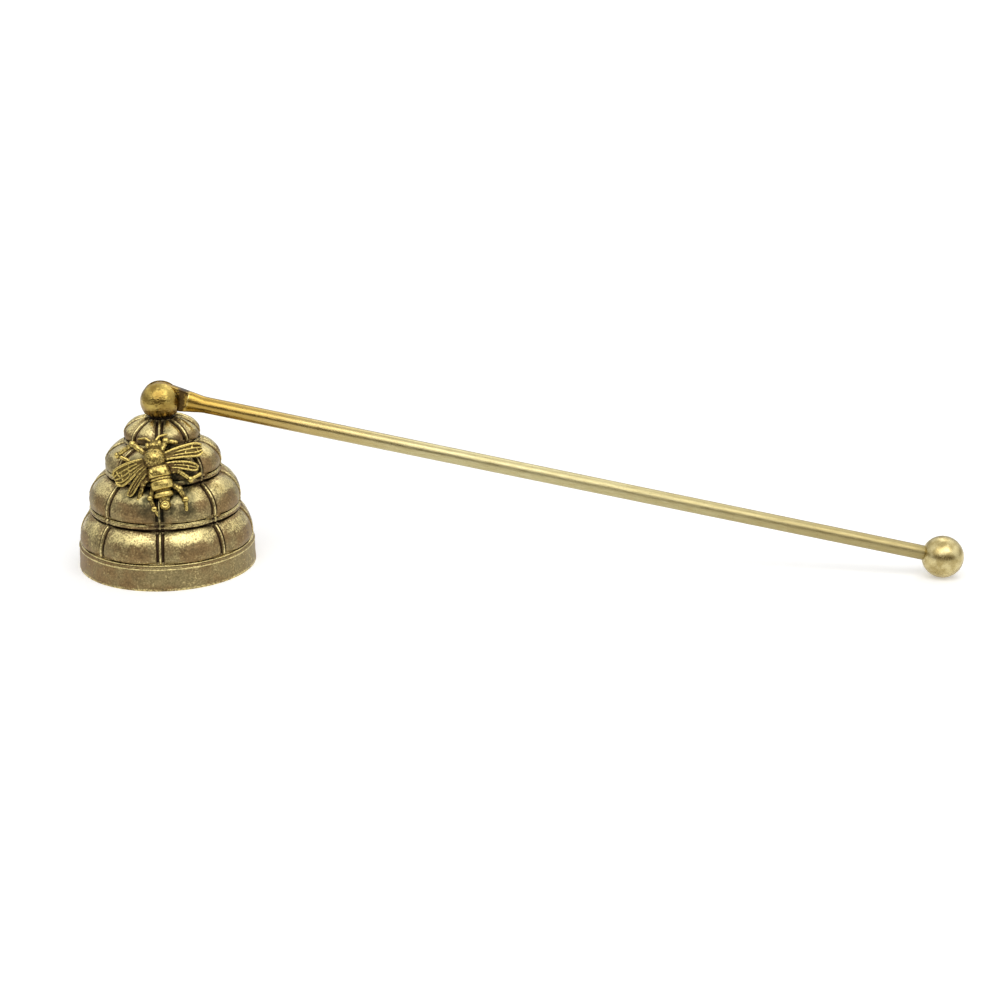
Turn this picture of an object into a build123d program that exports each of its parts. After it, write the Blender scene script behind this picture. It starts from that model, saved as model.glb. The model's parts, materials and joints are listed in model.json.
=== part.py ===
from build123d import *

import math
import os

# Candle snuffer: a cast beehive bell, hinged at its crown to a long tapered rod.
# The origin is the centre of the bell's mouth, on the surface that the bell stands on.
# +Z is up along the bell's axis, +X lies under the rod. Lengths are in millimetres.

# Band at the mouth of the bell
base_radius = 21.0
band_height = 5.0
band_taper = 0.25
band_bead_sink = 0.7
rim_width = 2.7

# The four stacked rolls, from the band to the crown
bottom_roll_radius = 20.45
bottom_roll_height = 9.6
third_roll_radius = 17.85
third_roll_height = 9.1
second_roll_radius = 13.6
second_roll_height = 7.5
top_roll_radius = 8.95
top_roll_height = 5.0
roll_waist_share = 0.28
crown_flat_radius = 3.5
wall = 2.0

# Bead at the foot of each roll, and the shadow gap below it
bead_height = 1.1
bead_sink = 0.45
gap_depth = 0.4

# Straps that run up the rolls, each between two grooves
strap_count = 8
strap_turn = 7.0
strap_width = 1.1
groove_width = 0.5
groove_depth = 0.5

# Ball on the crown, with its collar, stud and slot
ball_radius = 4.75
ball_rise = 3.8
collar_radius = 3.3
stud_radius = 1.5
stud_tail = 0.6
stud_clearance = 0.1

# Washer and nut inside the bell
washer_radius = 3.5
washer_thickness = 0.5
nut_across_flats = 5.5
nut_height = 2.4

# Hinge at the ball
pin_radius = 1.0
pin_rise = 1.2
hinge_clearance = 0.05
slot_side_clearance = 0.1
slot_floor_clearance = 0.75

# Handle, measured along the rod from the hinge pin
handle_length = 187.9
rod_near_radius = 1.95
rod_far_radius = 1.73
eye_radius = 3.3
tongue_thickness = 2.0
shoulder_reach = 6.6
flare_length = 4.4
flare_radius = 2.6
tongue_height_share = 0.8

# Ball on the far end of the rod
end_ball_radius = 4.95
end_face_margin = 0.25
spigot_radius = 1.4
spigot_length = 5.0
spigot_clearance = 0.02

# Bee, in its own plane: x across the wings, y towards the head
bee_turn = 7.0
bee_tilt = 12.5
bee_length = 16.6
bee_head_reach = 8.4
bee_middle_share = 0.506
bee_girth = 2.6
bee_lift = 0.9
bee_segment_shares = ((0.15, 0.58), (0.24, 1.0), (0.175, 0.85), (0.165, 0.88), (0.125, 0.77), (0.145, 0.48))
bee_neck_share = 0.8
wing_thickness = 0.8
wing_droop = 18.0
forewing_length = 9.0
forewing_width = 3.4
hindwing_length = 6.4
hindwing_width = 2.6
wing_root_share = 0.75
forewing_place_shares = ((1, 0.235, 6.0), (-1, 0.20, 14.0))
hindwing_place_shares = ((1, 0.06, -8.0), (-1, 0.05, 24.0))
leg_width = 0.9
leg_rise = 0.5
leg_depth = 3.4
leg_shares = (
    ((-0.06, 0.32), (-0.26, 0.50), (-0.47, 0.43)),
    ((0.06, 0.32), (0.21, 0.46), (0.30, 0.42)),
    ((-0.06, 0.09), (-0.25, -0.04), (-0.39, -0.11)),
    ((0.06, 0.10), (0.27, -0.02), (0.40, -0.14), (0.54, -0.10)),
    ((-0.06, 0.02), (-0.23, -0.07), (-0.33, -0.27), (-0.24, -0.43)),
    ((0.06, 0.04), (0.22, -0.20), (0.27, -0.36), (0.25, -0.52)),
)

# One overrun serves all cuts
cut_overrun = 2.0

os.makedirs("parts", exist_ok=True)

# Places worked out from the sizes above
roll_radii = (bottom_roll_radius, third_roll_radius, second_roll_radius, top_roll_radius)
roll_heights = (bottom_roll_height, third_roll_height, second_roll_height, top_roll_height)
seams = [band_height + sum(roll_heights[:count]) for count in range(len(roll_heights))]
crown_top = band_height + sum(roll_heights)
waists = [seam + height * roll_waist_share for seam, height in zip(seams, roll_heights)]
roll_tops = [seam - bead_height / 2 for seam in seams[1:]] + [crown_top]
bead_roots = [radius - bead_sink for radius in roll_radii]
roll_roots = [root - gap_depth for root in bead_roots[1:]] + [crown_flat_radius]
mouth_radius = base_radius - rim_width
mouth_depth = band_height - wall
band_edge = base_radius - band_taper
neck_radius = min(bead_roots[0], band_edge) - wall
seat_height = roll_tops[-2]

ball_height = crown_top + ball_rise
pin_height = ball_height + pin_rise
slot_floor = pin_height - eye_radius - slot_floor_clearance
slot_width = tongue_thickness + 2 * slot_side_clearance

droop = math.asin((pin_height - end_ball_radius) / handle_length)
rod_direction = Vector(math.cos(droop), 0, -math.sin(droop))
handle_plane = Plane(origin=(0, 0, pin_height), x_dir=rod_direction, z_dir=(0, -1, 0))
rod_axis = Axis((0, 0, pin_height), rod_direction)
end_face_reach = math.sqrt(end_ball_radius**2 - (rod_far_radius + end_face_margin) ** 2)
rod_end = handle_length - end_face_reach

front = math.radians(bee_turn)
outward = Vector(math.sin(front), -math.cos(front), 0)
sideways = Vector(math.cos(front), math.sin(front), 0)
bee_seat = outward * second_roll_radius + Vector(0, 0, waists[2])
bee_foot = outward * third_roll_radius + Vector(0, 0, waists[1])
uphill = (bee_seat - bee_foot).normalized()
bee_middle = bee_head_reach - bee_length * bee_middle_share
tilt = math.radians(bee_tilt)
bee_plane = Plane(
    origin=bee_seat,
    x_dir=sideways * math.cos(tilt) + uphill * math.sin(tilt),
    z_dir=sideways.cross(uphill),
)


def hive_section():
    """Half section of the hive, filled to its axis."""
    with BuildSketch(Plane.XZ) as section:
        with BuildLine():
            Line((0, 0), (base_radius, 0))
            edge = (band_edge, seams[0] - bead_height / 2)
            band_top = (band_edge - band_bead_sink, seams[0] + bead_height / 2)
            Line((base_radius, 0), edge)
            ThreePointArc(edge, (band_edge, seams[0]), band_top)
            Line(band_top, (bead_roots[0], seams[0] + bead_height / 2))
            step_ends = bead_roots[1:] + [0]
            for roll, radius in enumerate(roll_radii):
                bead_top = (bead_roots[roll], seams[roll] + bead_height / 2)
                if roll:
                    ThreePointArc(edge, (radius, seams[roll]), bead_top)
                TangentArc((radius, waists[roll]), bead_top, tangent=(0, -1))
                EllipticalCenterArc(
                    (roll_roots[roll], waists[roll]),
                    radius - roll_roots[roll],
                    roll_tops[roll] - waists[roll],
                    arc_size=90,
                )
                edge = (step_ends[roll], roll_tops[roll])
                Line((roll_roots[roll], roll_tops[roll]), edge)
            Line(edge, (0, 0))
        make_face()
    return section.sketch


def hollow_section():
    """Half section of the space inside the bell."""
    with BuildSketch(Plane.XZ) as section:
        with BuildLine():
            points = [(0, 0), (mouth_radius, 0), (mouth_radius, mouth_depth)]
            points += [(neck_radius, band_height)]
            points += [(root - wall, top) for root, top in zip(roll_roots[:-1], roll_tops[:-1])]
            Polyline(*points, (0, seat_height), close=True)
        make_face()
    return section.sketch


def groove_section():
    """Sections of the groove beside a strap, one on each roll."""
    with BuildSketch(Plane.XZ.offset(strap_width / 2)) as section:
        for roll, radius in enumerate(roll_radii):
            foot = seams[roll] + bead_height / 2
            root = roll_roots[roll]
            waist = waists[roll]
            top = roll_tops[roll]
            floor_radius = radius - groove_depth
            with BuildLine():
                EllipticalCenterArc(
                    (root, waist), floor_radius - root, top - groove_depth - waist, arc_size=90
                )
                Polyline(
                    (root, top - groove_depth),
                    (root, top),
                    (radius + cut_overrun, top),
                    (radius + cut_overrun, foot),
                    (floor_radius, foot),
                    (floor_radius, waist),
                )
            make_face()
    return section.sketch


# Filled hive, used to fit the bee's back to the rolls
with BuildPart() as hive_filled:
    revolve(hive_section(), axis=Axis.Z)

# Pair of grooves that leave one strap standing on the +X side
with BuildPart() as strap_grooves:
    extrude(groove_section(), amount=groove_width)
    mirror(about=Plane.XZ)

# Cast bell, hollow, drilled through the crown for the ball's stud
with BuildPart() as hive_bell:
    revolve(hive_section(), axis=Axis.Z)
    with PolarLocations(0, strap_count, start_angle=strap_turn - 90):
        add(strap_grooves.part, mode=Mode.SUBTRACT)
    revolve(hollow_section(), axis=Axis.Z, mode=Mode.SUBTRACT)
    with Locations((0, 0, crown_top)):
        Hole(stud_radius + stud_clearance)

# Bee casting: ringed body, four wings and six legs, with its back fitted to the rolls
with BuildPart() as bee_ornament:
    body_plane = bee_plane.offset(bee_lift)
    with BuildSketch(body_plane):
        with BuildLine():
            station = bee_head_reach
            start = (0, station)
            girths = [bee_girth * girth_share for _, girth_share in bee_segment_shares]
            for segment, (length_share, _) in enumerate(bee_segment_shares):
                middle = station - bee_length * length_share / 2
                station = station - bee_length * length_share
                neck = min(girths[segment : segment + 2]) * bee_neck_share
                stop = (0 if segment == len(girths) - 1 else neck, station)
                ThreePointArc(start, (girths[segment], middle), stop)
                start = stop
            Line(start, (0, bee_head_reach))
        make_face()
    revolve(axis=Axis(body_plane.origin, body_plane.y_dir))
    for wing_shares, length, width in (
        (forewing_place_shares, forewing_length, forewing_width),
        (hindwing_place_shares, hindwing_length, hindwing_width),
    ):
        for side, along_share, swing in wing_shares:
            across = side * (bee_girth * wing_root_share + length / 2)
            with BuildSketch(body_plane.rotated((0, side * wing_droop, 0))):
                with Locations((across, bee_middle + bee_length * along_share)):
                    Ellipse(length / 2, width / 2, rotation=swing)
            extrude(amount=wing_thickness / 2, both=True)
    for leg in leg_shares:
        points = [Vector(0, bee_middle) + Vector(across, along) * bee_length for across, along in leg]
        with BuildSketch(bee_plane.offset(-leg_depth)):
            for start, stop in zip(points, points[1:]):
                run = stop - start
                with Locations((start + stop) / 2):
                    SlotCenterToCenter(
                        run.length, leg_width, rotation=math.degrees(math.atan2(run.Y, run.X))
                    )
        extrude(amount=leg_depth + leg_rise)
    add(hive_filled.part, mode=Mode.SUBTRACT)

# Ball turned with its collar and stud, slotted for the tongue and cross-drilled for the pin
with BuildPart() as pivot_ball:
    with Locations((0, 0, ball_height)):
        Sphere(ball_radius)
    split(bisect_by=Plane.XY.offset(crown_top), keep=Keep.TOP)
    with BuildSketch(Plane.XY.offset(crown_top)):
        Circle(collar_radius)
    extrude(amount=ball_rise)
    stud_length = crown_top - seat_height + washer_thickness + nut_height + stud_tail
    with BuildSketch(Plane.XY.offset(crown_top)):
        Circle(stud_radius)
    extrude(amount=-stud_length)
    with BuildSketch(Plane.XY.offset(slot_floor)):
        Rectangle(2 * (ball_radius + cut_overrun), slot_width)
    extrude(amount=2 * ball_radius, mode=Mode.SUBTRACT)
    with BuildSketch(handle_plane):
        Circle(pin_radius)
    extrude(amount=ball_radius + cut_overrun, both=True, mode=Mode.SUBTRACT)

# Washer against the underside of the crown
with BuildPart() as crown_washer:
    with BuildSketch(Plane.XY.offset(seat_height)):
        Circle(washer_radius)
        Circle(stud_radius + stud_clearance, mode=Mode.SUBTRACT)
    extrude(amount=-washer_thickness)

# Hexagon nut on the stud
with BuildPart() as crown_nut:
    with BuildSketch(Plane.XY.offset(seat_height - washer_thickness)):
        RegularPolygon(nut_across_flats / 2, 6, major_radius=False)
        Circle(stud_radius + hinge_clearance, mode=Mode.SUBTRACT)
    extrude(amount=-nut_height)

# Hinge pin, its ends finished flush with the ball
with BuildPart() as hinge_pin:
    with BuildSketch(handle_plane):
        Circle(pin_radius)
    extrude(amount=ball_radius, both=True)
    with Locations((0, 0, ball_height)):
        Sphere(ball_radius, mode=Mode.INTERSECT)

# Rod with its flattened eye, shoulder, taper and spigot
with BuildPart() as handle_rod:
    with BuildSketch(handle_plane):
        with BuildLine():
            Polyline(
                (shoulder_reach + flare_length, 0),
                (shoulder_reach + flare_length, rod_near_radius),
                (rod_end, rod_far_radius),
                (rod_end, spigot_radius),
                (rod_end + spigot_length, spigot_radius),
                (rod_end + spigot_length, 0),
                close=True,
            )
        make_face()
    revolve(axis=rod_axis)
    rod_square = Plane(origin=handle_plane.origin, x_dir=(0, 1, 0), z_dir=rod_direction)
    with BuildSketch(rod_square.offset(shoulder_reach)):
        Ellipse(rod_near_radius, flare_radius)
    with BuildSketch(rod_square.offset(shoulder_reach + flare_length)):
        Circle(rod_near_radius)
    loft()
    with BuildSketch(handle_plane):
        Circle(eye_radius)
        with Locations((shoulder_reach, 0)):
            Rectangle(
                flare_length / 2, 2 * flare_radius * tongue_height_share, align=(Align.MIN, Align.CENTER)
            )
        make_hull()
        Circle(pin_radius + hinge_clearance, mode=Mode.SUBTRACT)
    extrude(amount=tongue_thickness / 2, both=True)

# Ball on the far end, faced and bored for the rod
with BuildPart() as end_ball:
    with Locations(handle_plane.from_local_coords((handle_length, 0, 0))):
        Sphere(end_ball_radius)
    with BuildSketch(rod_square.offset(rod_end)):
        Circle(end_ball_radius)
    extrude(amount=-end_ball_radius, mode=Mode.SUBTRACT)
    with BuildSketch(rod_square.offset(rod_end)):
        Circle(spigot_radius + spigot_clearance)
    extrude(amount=spigot_length + spigot_clearance, mode=Mode.SUBTRACT)

for name, piece in (
    ("hive_bell", hive_bell),
    ("bee_ornament", bee_ornament),
    ("pivot_ball", pivot_ball),
    ("crown_washer", crown_washer),
    ("crown_nut", crown_nut),
    ("hinge_pin", hinge_pin),
    ("handle_rod", handle_rod),
    ("end_ball", end_ball),
):
    piece.part.label = name
    export_step(piece.part, f"parts/{name}.step")
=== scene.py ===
import json
import math

import bmesh
import bpy
import numpy as np
from mathutils import Matrix, Vector, noise
from mathutils.bvhtree import BVHTree


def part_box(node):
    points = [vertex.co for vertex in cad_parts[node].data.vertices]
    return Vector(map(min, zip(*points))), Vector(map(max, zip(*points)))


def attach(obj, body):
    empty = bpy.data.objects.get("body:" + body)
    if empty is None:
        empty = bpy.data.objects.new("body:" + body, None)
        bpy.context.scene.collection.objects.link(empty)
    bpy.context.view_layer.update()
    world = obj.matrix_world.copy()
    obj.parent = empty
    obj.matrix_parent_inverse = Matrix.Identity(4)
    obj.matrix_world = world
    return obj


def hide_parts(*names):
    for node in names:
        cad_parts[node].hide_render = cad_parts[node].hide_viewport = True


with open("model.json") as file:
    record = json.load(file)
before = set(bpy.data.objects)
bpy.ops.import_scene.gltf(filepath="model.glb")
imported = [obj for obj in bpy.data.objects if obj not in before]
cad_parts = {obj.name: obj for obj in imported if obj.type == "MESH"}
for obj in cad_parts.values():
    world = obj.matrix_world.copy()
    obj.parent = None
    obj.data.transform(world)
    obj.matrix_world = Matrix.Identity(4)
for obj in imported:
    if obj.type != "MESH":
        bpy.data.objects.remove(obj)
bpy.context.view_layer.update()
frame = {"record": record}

# Hive bell: a hollow casting in antique brass, four rolls of straw tied by eight straps.
# Each roll ends under a seam bead with a dark gap, and a plain band makes the mouth.
# The shoulders of the rolls are rubbed bright and carry a painted highlight on their upper side, as do the
# bead lips, and the recesses keep their brown patina with painted shade.
mm = 0.001
bell_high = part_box("hive_bell")[1]
base_radius = bell_high.x / mm
crown_top = bell_high.z / mm
band_height = 5.0
band_taper = 0.25
mouth_radius = 18.3
mouth_depth = 3.0
wall = 2.0
roll_radii = (20.45, 17.85, 13.6, 8.95)
roll_heights = (9.6, 9.1, 7.5, 5.0)
waist_share = 0.28
bead_half = 0.55
bead_sink = 0.45
gap_depth = 0.4
gap_drop = 0.85
lip_rise = 0.65
shoulder_power = 1.2
crown_flat_radius = 3.5
stud_hole_radius = 1.6
strap_count = 8
strap_angle = math.radians(7 - 90)
strap_zone = 1.15
strap_share = 0.3
groove_share = 0.62
strap_crest = 0.1
groove_floor = -0.55
panel_edge = -0.2
panel_crown = 0.22
cast_waves = ((5.5, 0.14), (2.3, 0.07), (0.75, 0.03))
rim_wear = 0.45
band_wear = 0.1
lip_wear_and_highlight = 0.75
roll_wear = 0.06
inside_wear = 0.12

seams = np.cumsum((band_height,) + roll_heights)
roll_roots = [radius - bead_sink - gap_depth for radius in roll_radii[1:]] + [crown_flat_radius]
roll_tops = list(seams[1:4] - bead_half) + [crown_top]
seat_height = roll_tops[2]


def tint(red, green, blue):
    """Colour as seen on a display, 0 to 255, turned into a linear colour."""
    shares = [channel / 255 for channel in (red, green, blue)]
    return tuple(s / 12.92 if s <= 0.04045 else ((s + 0.055) / 1.055) ** 2.4 for s in shares) + (1.0,)


def ease(low, high, value):
    """Smooth step from 0 at low to 1 at high."""
    share = np.clip((np.asarray(value, float) - low) / (high - low), 0, 1)
    return share * share * (3 - 2 * share)


def soften(corners, rounds=2):
    """Line through corners with its corners cut round."""
    line = np.array(corners, float)
    for _ in range(rounds):
        start, stop = line[:-1], line[1:]
        cut = np.empty((2 * len(start), 2))
        cut[0::2] = start * 0.75 + stop * 0.25
        cut[1::2] = start * 0.25 + stop * 0.75
        line = np.vstack([line[:1], cut, line[-1:]])
    return line


def skin(name, rows, loop=False):
    """Mesh over rows of rings in millimetres, closed into a loop or capped at both ends."""
    rows = np.asarray(rows, float)
    count, turn = rows.shape[:2]
    index = np.arange(count * turn).reshape(count, turn)
    below = index if loop else index[:-1]
    above = np.roll(index, -1, 0) if loop else index[1:]
    quads = np.stack([below, np.roll(below, -1, 1), np.roll(above, -1, 1), above], -1).reshape(-1, 4)
    faces = quads.tolist()
    if not loop:
        faces += [index[0, ::-1].tolist(), index[-1].tolist()]
    mesh = bpy.data.meshes.new(name)
    mesh.from_pydata((rows.reshape(-1, 3) * mm).tolist(), [], faces)
    mesh.shade_smooth()
    return mesh


def stand(name, mesh, material, place=None):
    """Object that shows a mesh in a material."""
    mesh.materials.clear()
    mesh.materials.append(material)
    piece = bpy.data.objects.new(name, mesh)
    bpy.context.scene.collection.objects.link(piece)
    if place is not None:
        piece.matrix_world = place
    bpy.context.view_layer.update()
    return piece


def mark(mesh, name, values):
    """Write one number for each point of a mesh."""
    kept = mesh.attributes.new(name, "FLOAT", "POINT")
    kept.data.foreach_set("value", np.asarray(values, np.float32).ravel())


def put(tree, kind, inputs, out=0, **settings):
    """Shader node with its inputs set or wired, seen from one of its outputs."""
    made = tree.nodes.new("ShaderNode" + kind)
    for key, value in settings.items():
        setattr(made, key, value)
    for key, value in inputs.items():
        if isinstance(value, bpy.types.NodeSocket):
            tree.links.new(value, made.inputs[key])
        else:
            made.inputs[key].default_value = value
    return made.outputs[out]


def blend(tree, share, first, second, way="MIX"):
    """One colour over another."""
    return put(tree, "Mix", {0: share, 6: first, 7: second}, 2, data_type="RGBA", blend_type=way)


def figure(tree, way, first, second=0.0):
    """Sum, product or other figure of two numbers."""
    return put(tree, "Math", {0: first, 1: second}, operation=way)


def span(tree, value, low, high, start=0.0, stop=1.0):
    """Value between low and high, carried to start and stop."""
    return put(
        tree,
        "MapRange",
        {"Value": value, "From Min": low, "From Max": high, "To Min": start, "To Max": stop},
        interpolation_type="SMOOTHSTEP",
    )


def grain(tree, size, detail=3.0, stretch=(1, 1, 1), roughness=0.55):
    """Uneven noise whose lumps are about size millimetres across."""
    place = put(tree, "TexCoord", {}, "Object")
    place = put(tree, "Mapping", {"Vector": place, "Scale": stretch})
    wanted = {"Vector": place, "Scale": 1 / (size * mm), "Detail": detail, "Roughness": roughness}
    return put(tree, "TexNoise", wanted)


def new_metal(name):
    """Metal material with its node tree and its surface."""
    material = bpy.data.materials.new(name)
    material.use_nodes = True
    tree = material.node_tree
    surface = tree.nodes["Principled BSDF"]
    surface.inputs["Metallic"].default_value = 1.0
    return material, tree, surface


def antique_brass(name, bright, olive, brown, recess, tarnish, sheen, tooth):
    """Cast brass with patina, rubbed bright where the wear mark is high, which also carries painted
    highlight; sheltered hollows take the recess colour as patina with painted shade.
    """
    material, tree, surface = new_metal(name)
    wear_and_light = put(tree, "Attribute", {}, "Fac", attribute_name="wear_and_light")
    shelter = put(tree, "Attribute", {}, "Fac", attribute_name="shelter")
    damp = put(tree, "Attribute", {}, "Fac", attribute_name="damp")
    patches = grain(tree, 7.0, 3.0)
    speckle = grain(tree, 0.42, 3.0)
    pits = grain(tree, 0.16, 2.0)
    stain = grain(tree, 1.4, 4.0)
    body = blend(tree, span(tree, patches, 0.38, 0.62), brown, olive)
    body = blend(tree, span(tree, stain, 0.52, 0.75, 0.0, 0.4), body, recess)
    loose = figure(tree, "MULTIPLY_ADD", speckle, 1.3)
    loose.node.inputs[2].default_value = -0.65
    worn_and_lit = figure(tree, "ADD", figure(tree, "ADD", wear_and_light, loose), span(tree, patches, 0.3, 0.7, -0.08, 0.08))
    worn_and_lit = span(tree, worn_and_lit, 0.3, 0.8)
    colour = blend(tree, worn_and_lit, body, bright)
    tone = span(tree, speckle, 0.32, 0.68, 0.72, 1.2)
    colour = blend(tree, 1.0, colour, put(tree, "CombineColor", {0: tone, 1: tone, 2: tone}), "MULTIPLY")
    # Hollows where metal hides the sky go to the recess colour: patina with painted shade.
    hidden = span(tree, figure(tree, "ADD", shelter, figure(tree, "MULTIPLY", loose, 0.12)), 0.26, 0.62)
    colour = blend(tree, hidden, colour, recess)
    wet = figure(tree, "MULTIPLY", damp, span(tree, stain, 0.36, 0.58, 0.5, 1.0))
    colour = blend(tree, figure(tree, "MULTIPLY", wet, 0.9), colour, tarnish)
    tree.links.new(colour, surface.inputs["Base Color"])
    dull = span(tree, worn_and_lit, 0.0, 1.0, sheen + 0.2, sheen)
    dull = figure(tree, "ADD", dull, span(tree, speckle, 0.3, 0.7, -0.06, 0.08))
    dull = figure(tree, "ADD", dull, figure(tree, "MULTIPLY", wet, 0.15))
    tree.links.new(dull, surface.inputs["Roughness"])
    height = figure(tree, "ADD", speckle, figure(tree, "MULTIPLY", pits, 0.5))
    relief = {"Strength": 0.55, "Distance": tooth * mm, "Height": height}
    tree.links.new(put(tree, "Bump", relief), surface.inputs["Normal"])
    return material


outline, relief, wear_and_light_rows = [], [], []


def lay(points, depth, wear_and_light):
    """Add points of the bell's half section, with the depth of the straps and the wear and painted light
    there.
    """
    outline.extend(np.asarray(points, float).tolist())
    relief.extend(np.broadcast_to(depth, len(points)).tolist())
    wear_and_light_rows.extend(np.broadcast_to(wear_and_light, len(points)).tolist())


band_edge = base_radius - band_taper
rim = [(base_radius - 0.35, 0), (base_radius - 0.04, 0), (base_radius, 0.05), (base_radius, 0.5)]
lay(soften(rim), 0, rim_wear)
rise = np.linspace(0.65, band_height - 0.3, 18)
lay(np.stack([base_radius - band_taper * rise / band_height, rise], 1), 0, band_wear)
# Lips of the band and of the seam beads, as steps out and up from their seam.
band_lips = [(0, -0.2), (-0.02, -0.02), (0.11, 0.06), (0.13, 0.2), (0.06, 0.36), (-0.3, 0.5), (-0.36, 0.7)]
band_lips += [(-0.3, 0.88), (-0.2, 0.98), (-0.2, 1.14), (-0.5, 1.26), (-0.72, 1.36)]
lips = soften([(band_edge + out, band_height + up) for out, up in band_lips])
# Outer and upper edges of the band's lip are painted bright: wear with a painted highlight.
outer_lip = ease(0.02, 0.1, lips[:, 0] - band_edge)
upper_lip = ease(0.9, 1.02, lips[:, 1] - band_height)
lay(lips, 0, band_wear + lip_wear_and_highlight * np.maximum(outer_lip, upper_lip))
bead_line = [(-0.9, -1.1), (-0.95, -0.8), (-0.92, -0.3), (-0.6, -0.12), (-0.2, -0.05), (0, 0.1), (0.02, 0.4)]
bead_line += [(0.02, 0.78), (-0.14, 0.88), (-0.02, 0.98), (0.08, 1.06), (0.06, 1.18), (-0.18, 1.3)]
bead_line += [(-0.14, 1.38), (-0.03, 1.46), (-0.06, 1.56), (-0.3, 1.64), (-0.44, 1.7)]
bead_scales = (0.68, 0.62, 0.45)
# Shoulder brightness of each roll from the bottom up, wear with a painted highlight, kept weaker on the
# lowest roll.
roll_wear_and_highlight = (0.5, 0.74, 0.88, 0.82)
for roll, radius in enumerate(roll_radii):
    foot = seams[roll] + (lip_rise + bead_half) * (1.2 if roll == 0 else bead_scales[roll - 1])
    waist = seams[roll] + waist_share * roll_heights[roll]
    last = roll == len(roll_radii) - 1
    top = roll_tops[roll] - (0 if last else gap_drop * bead_scales[roll])
    bend = np.linspace(0, math.pi / 2, 12)[:-1]
    lower = np.stack([radius - bead_sink * (1 - np.sin(bend)), waist - (waist - foot) * np.cos(bend)], 1)
    lay(lower, 0.35 + 0.65 * ease(0, 0.4, bend), roll_wear)
    bend = np.linspace(0, math.pi / 2, 38)
    reach = radius - roll_roots[roll]
    bulge, climb = np.cos(bend).clip(0) ** shoulder_power, np.sin(bend) ** shoulder_power
    upper = np.stack([roll_roots[roll] + reach * bulge, waist + (top - waist) * climb], 1)
    # The upper shoulder of each roll is painted bright as a highlight; on the lower rolls the mark falls
    # below zero at the gap under the bead, a painted shadow.
    shoulder = ease(0.44, 0.76, bend) * (1 - 0.7 * ease(0.98, 1.3, bend))
    if last:
        shoulder = 0.88 * ease(0.15, 0.6, bend)
    else:
        shoulder = shoulder - 1.0 * ease(1.42, 1.54, bend)
    lay(upper, 1 if last else 1 - 0.7 * ease(1.3, 1.57, bend), roll_wear + roll_wear_and_highlight[roll] * shoulder)
    if not last:
        size = bead_scales[roll]
        bead = soften([(roll_radii[roll + 1] + out, roll_tops[roll] + up * size) for out, up in bead_line])
        level = (bead[:, 1] - roll_tops[roll]) / size
        # Bead lips are painted bright as highlights; the bead's underside goes below zero, painted shadow in
        # the gap.
        lip = ease(0.92, 1.04, level) * (1 - ease(1.2, 1.3, level)) + ease(1.36, 1.46, level)
        lay(bead, 0.3, -0.95 + 1.2 * ease(-0.1, 0.15, level) + 0.6 * np.minimum(lip, 1))
outside = len(outline)
crown = np.linspace(crown_flat_radius - 0.2, stud_hole_radius, 5)
lay(np.stack([crown, np.full(5, crown_top)], 1), 0, band_wear)
fall = np.linspace(crown_top - 0.3, seat_height, 8)
lay(np.stack([np.full(8, stud_hole_radius), fall], 1), 0, band_wear)
hollow = [(stud_hole_radius + 0.3, seat_height), (roll_roots[2] - wall, seat_height)]
hollow += [(root - wall, top) for root, top in zip(roll_roots[1::-1], roll_tops[1::-1])]
hollow += [(roll_radii[0] - bead_sink - wall, band_height), (mouth_radius, mouth_depth), (mouth_radius, 0.12)]
lay(soften(hollow, 4), 0, inside_wear)
lay([(mouth_radius + 0.12, 0.0), (mouth_radius + 0.9, 0.0), (base_radius - 1.0, 0.0)], 0, 0.5)

outline = np.array(outline)
relief = np.array(relief)
step = np.roll(outline, -1, 0) - np.roll(outline, 1, 0)
step /= np.linalg.norm(step, axis=1)[:, None] + 1e-9
out_radial, out_rise = step[:, 1], -step[:, 0]
near = np.linspace(0, 1, 15)[:-1]
side = np.concatenate([near, 1 + np.linspace(0, 1, 17)])
across = np.concatenate([-side[1:-1][::-1], side])
place = np.abs(across)
strap = groove_floor + (strap_crest - groove_floor) * np.sqrt(np.clip(1 - (place / strap_share) ** 2.6, 0, 1))
flank = groove_floor + (panel_edge - groove_floor) * ease(groove_share, 1.0, place)
pillow = panel_edge + (panel_crown - panel_edge) * (1 - np.clip(2 - place, 0, 1) ** 2.4)
cross = np.where(place < strap_share, strap, np.where(place < 1, flank, pillow))
half_turn = math.pi / strap_count
half_width = outline[:, 0] * half_turn
zone = np.minimum(strap_zone, 0.8 * half_width)
arc = np.minimum(place, 1)[None] * zone[:, None]
arc = arc + np.clip(place - 1, 0, 1)[None] * (half_width - zone)[:, None]
arc = np.sign(across)[None] * arc / outline[:, :1]
angle = np.concatenate([strap_angle + 2 * half_turn * k + arc for k in range(strap_count)], 1)
depth = relief[:, None] * np.tile(cross, strap_count)[None]
level = np.broadcast_to(outline[:, 1:], angle.shape)
ring = outline[:, :1]
for size, height in cast_waves:
    spots = np.stack([ring * np.cos(angle), ring * np.sin(angle), level], -1).reshape(-1, 3) / size
    waves = np.array([noise.noise(Vector(spot)) for spot in spots]).reshape(angle.shape)
    held = np.ones(len(outline))
    held[(outline[:, 1] < 0.3) | (outline[:, 1] > crown_top - 0.05)] = 0
    depth = depth + waves * height * held[:, None]
ring = ring + out_radial[:, None] * depth
ring = np.where(level < band_height + 0.4, np.minimum(ring, base_radius), ring)
bell_rows = np.stack([ring * np.cos(angle), ring * np.sin(angle), level + out_rise[:, None] * depth], -1)
bell_mesh = skin("hive bell", bell_rows, loop=True)
bell_brass = antique_brass(
    "antique cast brass",
    bright=tint(212, 195, 136),
    olive=tint(150, 135, 95),
    brown=tint(142, 118, 80),
    recess=tint(60, 46, 33),
    tarnish=tint(22, 30, 24),
    sheen=0.28,
    tooth=0.05,
)
bell = stand("hive-bell", bell_mesh, bell_brass)
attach(bell, "bell")
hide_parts("hive_bell")
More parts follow.
